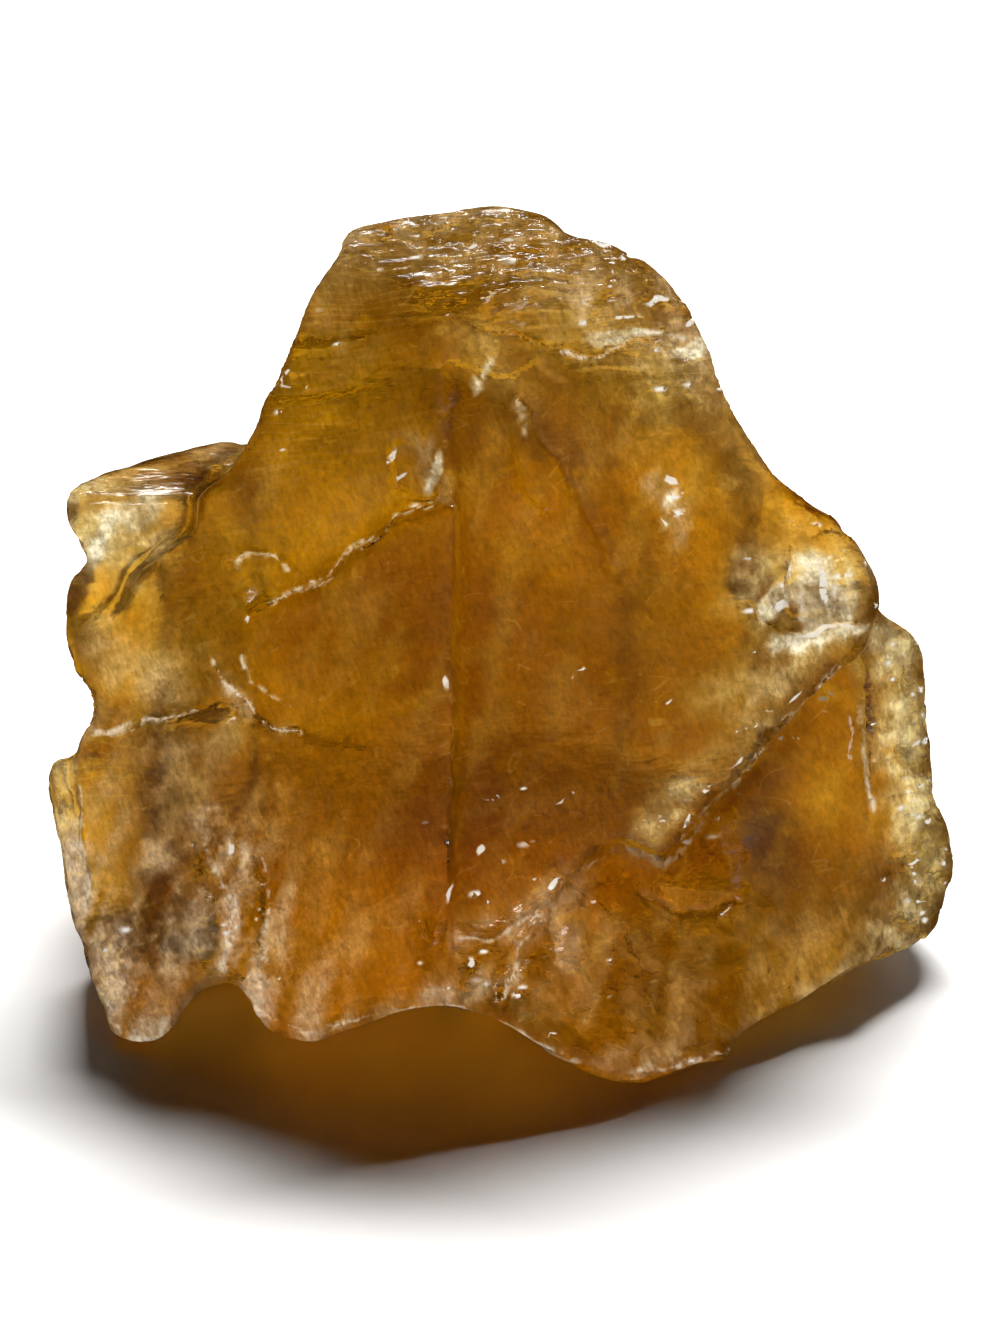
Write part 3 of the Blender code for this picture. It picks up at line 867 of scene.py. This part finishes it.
class Nodes:
    """Short ways to add a material's nodes."""

    def __init__(self, tree):
        self.tree = tree

    def add(self, kind, **values):
        node = self.tree.nodes.new(kind)
        for name, value in values.items():
            setattr(node, name, value)
        return node

    def put(self, value, socket):
        """Links an output to a socket, or sets the socket to a plain value."""
        if isinstance(value, bpy.types.NodeSocket):
            self.tree.links.new(value, socket)
        else:
            socket.default_value = value

    def mask(self, name):
        return self.add("ShaderNodeAttribute", attribute_name=name).outputs["Fac"]

    def maths(self, operation, first, second=0.0):
        node = self.add("ShaderNodeMath", operation=operation)
        self.put(first, node.inputs[0])
        self.put(second, node.inputs[1])
        return node.outputs[0]

    def mix(self, share, first, second):
        node = self.add("ShaderNodeMix", data_type="RGBA")
        self.put(share, node.inputs["Factor"])
        self.put(first, node.inputs["A"])
        self.put(second, node.inputs["B"])
        return node.outputs["Result"]

    def span(self, value, low, high, to_low=0.0, to_high=1.0):
        node = self.add("ShaderNodeMapRange", clamp=True)
        for socket, number in zip(node.inputs, (value, low, high, to_low, to_high)):
            self.put(number, socket)
        return node.outputs["Result"]

    def on_face(self):
        """The object's own coordinates, laid onto the main face."""
        node = self.add("ShaderNodeMapping")
        self.put(self.add("ShaderNodeTexCoord").outputs["Object"], node.inputs["Vector"])
        node.inputs["Rotation"].default_value = (LEAN - math.pi / 2, 0, 0)
        return node.outputs["Vector"]

    def drawn(self, place, turn, stretch):
        """Coordinates drawn out along one direction of the face, turned from its right by some degrees."""
        node = self.add("ShaderNodeMapping", vector_type="TEXTURE")
        self.put(place, node.inputs["Vector"])
        node.inputs["Rotation"].default_value = (0, 0, math.radians(turn))
        node.inputs["Scale"].default_value = (stretch, 1.0, 1.0)
        return node.outputs["Vector"]

    def noise(self, place, scale, detail, roughness):
        node = self.add("ShaderNodeTexNoise")
        self.put(place, node.inputs["Vector"])
        self.put(scale, node.inputs["Scale"])
        self.put(detail, node.inputs["Detail"])
        self.put(roughness, node.inputs["Roughness"])
        return node.outputs["Fac"]

    def sparks(self, place, scale, share):
        """Small separate specks, in a given share of the cells."""
        cells = self.add("ShaderNodeTexVoronoi")
        self.put(place, cells.inputs["Vector"])
        self.put(scale, cells.inputs["Scale"])
        lot = self.add("ShaderNodeSeparateColor")
        self.put(cells.outputs["Color"], lot.inputs["Color"])
        drawn = self.maths("LESS_THAN", lot.outputs["Red"], share)
        reach = self.span(lot.outputs["Green"], 0.0, 1.0, 0.18, 0.50)
        speck = self.span(cells.outputs["Distance"], 0.0, reach, 1.6, 0.0)
        return self.maths("MINIMUM", self.maths("MULTIPLY", drawn, speck), 1.0)

    def scaled(self, colour, factor):
        node = self.add("ShaderNodeVectorMath", operation="SCALE")
        self.put(colour, node.inputs[0])
        self.put(factor, node.inputs["Scale"])
        return node.outputs["Vector"]

    def bump(self, height, distance, strength):
        node = self.add("ShaderNodeBump")
        self.put(height, node.inputs["Height"])
        self.put(distance, node.inputs["Distance"])
        self.put(strength, node.inputs["Strength"])
        return node.outputs["Normal"]


def crystal_marks(make, mottle, grain, level):
    """What is drawn thin on the crystal: threads, painted highlights along edges, dark cracks and painted
    shade lines, the lips of small steps, and painted glints.
    """
    lines = [make.maths("ABSOLUTE", make.mask(name)) for name in ("thread", "second_thread")]
    threads = make.span(make.maths("MINIMUM", *lines), 0.0, THREAD_WIDTH, 1.0, 0.0)
    threads = make.maths("MULTIPLY", threads, make.span(mottle, 0.48, 0.58))

    lit_edges = make.span(make.mask("edge_highlight"), 0.0, make.span(mottle, 0.38, 0.62, 0.12, 0.60), 1.0, 0.0)
    lit_edges = make.maths("MULTIPLY", lit_edges, make.span(grain, 0.38, 0.52, 0.35, 1.0))
    cracks_and_shade = make.span(make.mask("crack_and_shade"), 0.05, 0.50, 0.8, 0.0)

    part = make.maths("FRACT", make.maths("MULTIPLY", make.mask("steps"), 2.0))
    lips = make.span(part, 0.0, make.span(grain, 0.35, 0.6, 0.02, 0.30), 0.8, 0.0)
    lips = make.maths("MULTIPLY", lips, make.mask("stepped"))

    flakes = make.span(make.mask("painted_glint_flake"), 0.85, 1.15, 0.9, 0.0)
    gathered = make.maths("MULTIPLY", make.mask("painted_glint"), make.span(mottle, 0.40, 0.62, 0.0, 0.75))
    # Painted highlights: white specks and flakes that stand for glints.
    painted_glints = make.maths("MAXIMUM", make.sparks(level, SPARK_SCALE, gathered), flakes)
    return threads, lit_edges, cracks_and_shade, lips, painted_glints


def crystal_tint(make, mottle, grain, marks):
    """The painted tint with its fine mottle and grain, and the marks over it, painted highlights and painted
    shade lines among them.
    """
    threads, lit_edges, cracks_and_shade, lips, painted_glints = marks
    stored = make.add("ShaderNodeCombineColor")
    for socket, name in zip(stored.inputs, ("red", "green", "blue")):
        make.put(make.mask(name), socket)
    tint = make.scaled(stored.outputs["Color"], make.span(mottle, 0.30, 0.70, 0.70, 1.30))
    tint = make.scaled(tint, make.span(grain, 0.28, 0.72, 0.52, 1.50))
    # Dark cracks and painted shade lines.
    tint = make.mix(cracks_and_shade, tint, CRACK_AND_SHADE_DARK)
    tint = make.mix(make.maths("MULTIPLY", lips, 0.5), tint, THREAD)
    tint = make.mix(make.maths("MULTIPLY", threads, 0.4), tint, THREAD)
    # Painted highlights along the edges.
    tint = make.mix(lit_edges, tint, PAINTED_EDGE_HIGHLIGHT)
    return make.mix(painted_glints, tint, PAINTED_GLINT_WHITE)


def crystal_clearness(make, mottle, marks):
    """How much of the light goes through: less in the milky films, and least in the painted edge highlights
    and painted glints.
    """
    threads, lit_edges, _, lips, painted_glints = marks
    milky = make.maths("MULTIPLY", make.mask("milky"), make.span(mottle, 0.36, 0.64, 0.5, 1.5))
    milky = make.maths("ADD", milky, make.maths("MULTIPLY", threads, 0.12))
    milky = make.maths("ADD", milky, make.maths("MULTIPLY", lips, 0.2))
    milky = make.maths("MAXIMUM", milky, make.maths("MULTIPLY", lit_edges, 0.85))
    milky = make.maths("MAXIMUM", milky, make.maths("MULTIPLY", painted_glints, 0.90))
    milky = make.maths("MINIMUM", milky, 1.0)
    return make.maths("SUBTRACT", 1.0, milky)


def crystal_material():
    """See-through honey calcite: tinted, absorbing, and hazed by milky films, with a painted mauve-grey
    sheen, painted highlights and painted shade.
    """
    material = bpy.data.materials.new("honey calcite")
    material.use_nodes = True
    make = Nodes(material.node_tree)
    shader = material.node_tree.nodes["Principled BSDF"]
    output = material.node_tree.nodes["Material Output"]

    face = make.on_face()
    level = make.drawn(face, *LEVEL_DRAW)
    mottle = make.noise(face, *MOTTLE)
    grain = make.noise(make.drawn(face, *SLANTED_DRAW), *GRAIN)
    marks = crystal_marks(make, mottle, grain, level)
    hackle = make.noise(level, *HACKLE)
    hackled = make.span(make.mask("chipped"), 0.0, 0.4, 0.4, 1.0)

    make.put(crystal_tint(make, mottle, grain, marks), shader.inputs["Base Color"])
    make.put(crystal_clearness(make, mottle, marks), shader.inputs["Transmission Weight"])
    make.put(make.mask("blurred"), shader.inputs["Roughness"])
    make.put(make.bump(hackle, HACKLE_DEPTH, hackled), shader.inputs["Normal"])
    shader.inputs["Metallic"].default_value = 0.0
    shader.inputs["IOR"].default_value = CALCITE_IOR
    shader.inputs["Coat Weight"].default_value = COAT_WEIGHT
    shader.inputs["Coat Roughness"].default_value = COAT_ROUGHNESS

    absorbing = make.add("ShaderNodeVolumeAbsorption")
    absorbing.inputs["Color"].default_value = ABSORBED_COLOUR
    absorbing.inputs["Density"].default_value = ABSORPTION
    make.put(absorbing.outputs["Volume"], output.inputs["Volume"])
    return material


# The floor's half side and how far it lies under the stone, then its look, and the room's and the lights'.
FLOOR_SIDE = 3.0
FLOOR_GAP = 0.05 * MM
FLOOR_WHITE = (0.88, 0.88, 0.88, 1)
FLOOR_ROUGHNESS = 0.7
ROOM_COLOUR = (0.60, 0.50, 0.45, 1)
ROOM_STRENGTH = 0.006
LIGHT_COLOUR = (1.0, 0.985, 0.96)

# Each light by its azimuth and elevation in degrees, its distance, width and height in metres, and its
# radiance.
WINDOW = (7, 45, 1.4, 0.8, 0.16, 135.0)
WALL = (18, 16, 1.6, 2.8, 0.75, 2.4)
FRONT = (180, 14, 1.6, 2.6, 0.8, 1.2)
FILL = (180, 78, 1.3, 0.8, 0.8, 9.0)
BACK = (0, 15, 1.3, 0.8, 0.8, 11.0)
SPARK = (165, 72, 1.3, 0.2, 0.2, 12.0)


def make_floor():
    """A plain white floor, a hair under the stone so that the two faces don't fight."""
    side = FLOOR_SIDE
    mesh = bpy.data.meshes.new("floor")
    corners = [(-side, -side), (side, -side), (side, side), (-side, side)]
    mesh.from_pydata([(x, y, -FLOOR_GAP) for x, y in corners], [], [(0, 1, 2, 3)])
    floor = bpy.data.objects.new("floor", mesh)
    bpy.context.scene.collection.objects.link(floor)
    material = bpy.data.materials.new("white floor")
    material.use_nodes = True
    shader = material.node_tree.nodes["Principled BSDF"]
    shader.inputs["Base Color"].default_value = FLOOR_WHITE
    shader.inputs["Roughness"].default_value = FLOOR_ROUGHNESS
    shader.inputs["Specular IOR Level"].default_value = 0.0
    mesh.materials.append(material)
    floor.visible_glossy = False
    return floor


def panel_light(name, setting, only=None, mirrored=True, dull=True, through=True):
    """A soft panel turned to the stone. Azimuth 0 is straight behind it, and rises to its right.

    It can light one object only, and be kept out of mirroring, dull light or what is seen through.
    """
    azimuth, elevation, distance, width, height, radiance = setting
    light = bpy.data.lights.new(name, "AREA")
    light.shape = "RECTANGLE"
    light.size = width
    light.size_y = height
    light.energy = radiance * math.pi * width * height
    light.color = LIGHT_COLOUR
    made = bpy.data.objects.new(name, light)
    turn = math.radians(azimuth)
    rise = math.radians(elevation)
    away = Vector((math.sin(turn) * math.cos(rise), math.cos(turn) * math.cos(rise), math.sin(rise)))
    made.location = away * distance
    made.rotation_euler = (-away).to_track_quat("-Z", "Y").to_euler()
    made.visible_camera = False
    made.visible_glossy = mirrored
    made.visible_diffuse = dull
    made.visible_transmission = through
    bpy.context.scene.collection.objects.link(made)
    if only is not None:
        lit = bpy.data.collections.new("lit by the " + name)
        lit.objects.link(only)
        made.light_linking.receiver_collection = lit


def make_lights(floor, stone):
    """A window behind and above, a wall under it, the room in front, and a lamp for the back.

    The window and the room shine through the stone, but don't light the films on it. The fill brings
    those out. The spark is only mirrored.
    """
    panel_light("window", WINDOW, only=floor)
    panel_light("window behind the stone", WINDOW, only=stone, mirrored=False, dull=False)
    panel_light("wall", WALL, mirrored=False)
    panel_light("room in front", FRONT, only=stone, mirrored=False, dull=False)
    panel_light("fill", FILL, only=stone, mirrored=False, through=False)
    panel_light("back", BACK, only=stone, mirrored=False, through=False)
    panel_light("spark", SPARK, only=stone, dull=False, through=False)


def make_room():
    """A faint even light from all round."""
    world = bpy.data.worlds.new("room")
    world.use_nodes = True
    dim = world.node_tree.nodes["Background"]
    dim.inputs["Color"].default_value = ROOM_COLOUR
    dim.inputs["Strength"].default_value = ROOM_STRENGTH
    bpy.context.scene.world = world


def make_camera():
    """Looks square onto the main face through a long lens, framed as the photograph is."""
    lens = bpy.data.cameras.new("camera")
    lens.sensor_width = SENSOR
    lens.lens = SENSOR * CAMERA_DISTANCE / (PHOTO_HEIGHT * PIXEL)
    lens.clip_start = 0.05
    camera = bpy.data.objects.new("camera", lens)
    right = (PHOTO_WIDTH / 2 - ORIGIN_X) * PIXEL
    up = (ORIGIN_Y - PHOTO_HEIGHT / 2) * PIXEL
    seen_from = FACE_ORIGIN + np.array((right, up, FACE_DEPTH + CAMERA_DISTANCE)) @ FACE_AXES
    camera.location = seen_from * MM
    camera.rotation_euler = (math.pi / 2 - LEAN, 0, 0)
    bpy.context.scene.collection.objects.link(camera)
    bpy.context.scene.camera = camera


def set_look():
    """Plain colours, and enough bounces for light to find its way through the crystal."""
    scene = bpy.context.scene
    scene.view_settings.view_transform = "Standard"
    scene.view_settings.look = "None"
    scene.cycles.max_bounces = 5
    scene.cycles.transmission_bounces = 5
    scene.cycles.glossy_bounces = 3
    scene.cycles.diffuse_bounces = 1
    scene.cycles.sample_clamp_indirect = 4.0
    scene.cycles.use_denoising = True


make_camera()
set_look()
calcite = make_stone()
write_paint(calcite)
make_lights(make_floor(), calcite)
make_room()
calcite.data.materials.clear()
calcite.data.materials.append(crystal_material())
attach(calcite, "root")
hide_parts(NODE)
